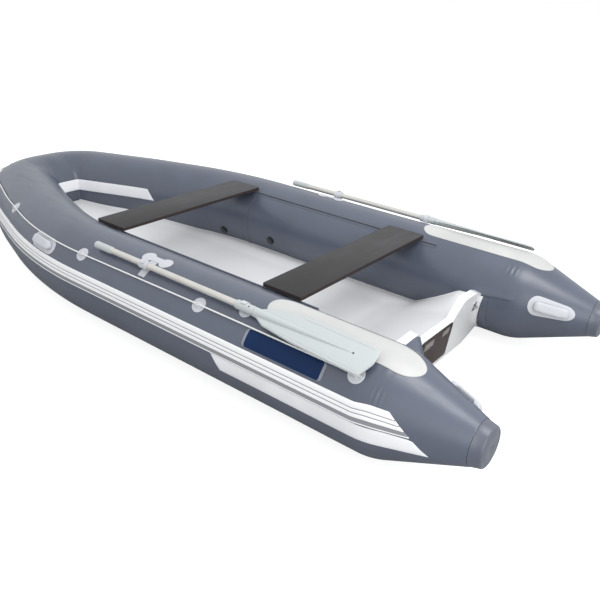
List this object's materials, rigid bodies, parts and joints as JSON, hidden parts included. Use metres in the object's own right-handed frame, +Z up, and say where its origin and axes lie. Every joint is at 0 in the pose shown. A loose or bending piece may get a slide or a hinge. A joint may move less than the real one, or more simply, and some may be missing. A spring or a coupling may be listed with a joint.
{
  "type": "rigid-hull inflatable boat",
  "caption": "Small rigid-hull inflatable boat with an inflated collar, white V hull and liner, low transom, sliding plank benches and stowed swing-out oars.",
  "frame": {"origin": "on the waterline at the centre plane, halfway along the boat", "axes": "+X to the bow, +Y to port, +Z up"},
  "size_m": [3.6915, 1.671, 0.6157],
  "materials": {
    "tube_fabric": "slate blue-grey coated fabric, satin",
    "cap_rubber": "grey moulded rubber, satin",
    "hull_gelcoat": "white gelcoat, gloss",
    "strake_white": "white ribbed rub strake with grey lines",
    "white_fabric": "white coated fabric, satin",
    "blue_fabric": "navy coated fabric, satin",
    "pad_fabric": "off-white coated fabric, satin",
    "bench_ply": "film-faced plywood, dark, semi-matt",
    "shoe_plastic": "dark plastic",
    "track_rubber": "dark grey track, satin",
    "oar_alloy": "satin anodised tube",
    "oar_plastic": "pale moulded plastic",
    "fitting_plastic": "pale grey moulded plastic",
    "rope_white": "white braided rope",
    "pad_brown": "dark brown motor plate, satin",
    "valve_black": "black plastic",
    "steel": "stainless steel"
  },
  "bodies": {
    "boat": {"tube_port": "tube_fabric", "tube_starboard": "tube_fabric", "tube_bow": "tube_fabric", "stern_cone_port": "tube_fabric", "stern_cone_starboard": "tube_fabric", "stern_cap_port": "cap_rubber", "stern_cap_starboard": "cap_rubber", "hull": "hull_gelcoat", "deck_liner": "hull_gelcoat", "transom": "hull_gelcoat", "motor_pad": "pad_brown", "transom_flanges": "hull_gelcoat", "stern_eyes": "steel", "strake_port": "strake_white", "strake_starboard": "strake_white", "strake_bow": "strake_white", "side_panels": "white_fabric", "bow_band": "white_fabric", "stern_top_pads": "pad_fabric", "blank_plates": "blue_fabric", "rope_patches": "fitting_plastic", "lifeline_port": "rope_white", "lifeline_starboard": "rope_white", "handle_pads": "fitting_plastic", "handle_grips": "fitting_plastic", "valves": "valve_black", "tow_patch": "fitting_plastic", "tow_ring": "steel", "bench_tracks": "track_rubber", "rowlock_port": "fitting_plastic", "rowlock_starboard": "fitting_plastic", "oar_clip_port": "fitting_plastic", "oar_clip_starboard": "fitting_plastic"},
    "bench_front_board": {"bench_front": "bench_ply", "bench_shoes_front": "shoe_plastic"},
    "bench_rear_board": {"bench_rear": "bench_ply", "bench_shoes_rear": "shoe_plastic"},
    "oar_port": {"oar_shaft_port": "oar_alloy", "oar_grip_port": "oar_plastic", "oar_neck_port": "oar_plastic", "oar_blade_port": "oar_plastic", "oar_sleeve_port": "fitting_plastic"},
    "oar_starboard": {"oar_shaft_starboard": "oar_alloy", "oar_grip_starboard": "oar_plastic", "oar_neck_starboard": "oar_plastic", "oar_blade_starboard": "oar_plastic", "oar_sleeve_starboard": "fitting_plastic"}
  },
  "joints": [
    {"name": "oar_port_swing", "type": "hinge", "parent": "boat", "child": "oar_port", "pos_m": [-0.225, 0.72714, 0.44779], "axis": [0, -0.4695, -0.8829], "range_deg": [0, 100]},
    {"name": "oar_starboard_swing", "type": "hinge", "parent": "boat", "child": "oar_starboard", "pos_m": [-0.225, -0.72714, 0.44779], "axis": [0, -0.4695, 0.8829], "range_deg": [0, 100]},
    {"name": "bench_front_slide", "type": "slide", "parent": "boat", "child": "bench_front_board", "axis": [1, 0, 0], "range_m": [-0.15, 0]},
    {"name": "bench_rear_slide", "type": "slide", "parent": "boat", "child": "bench_rear_board", "axis": [1, 0, 0], "range_m": [-0.06, 0.5]}
  ]
}
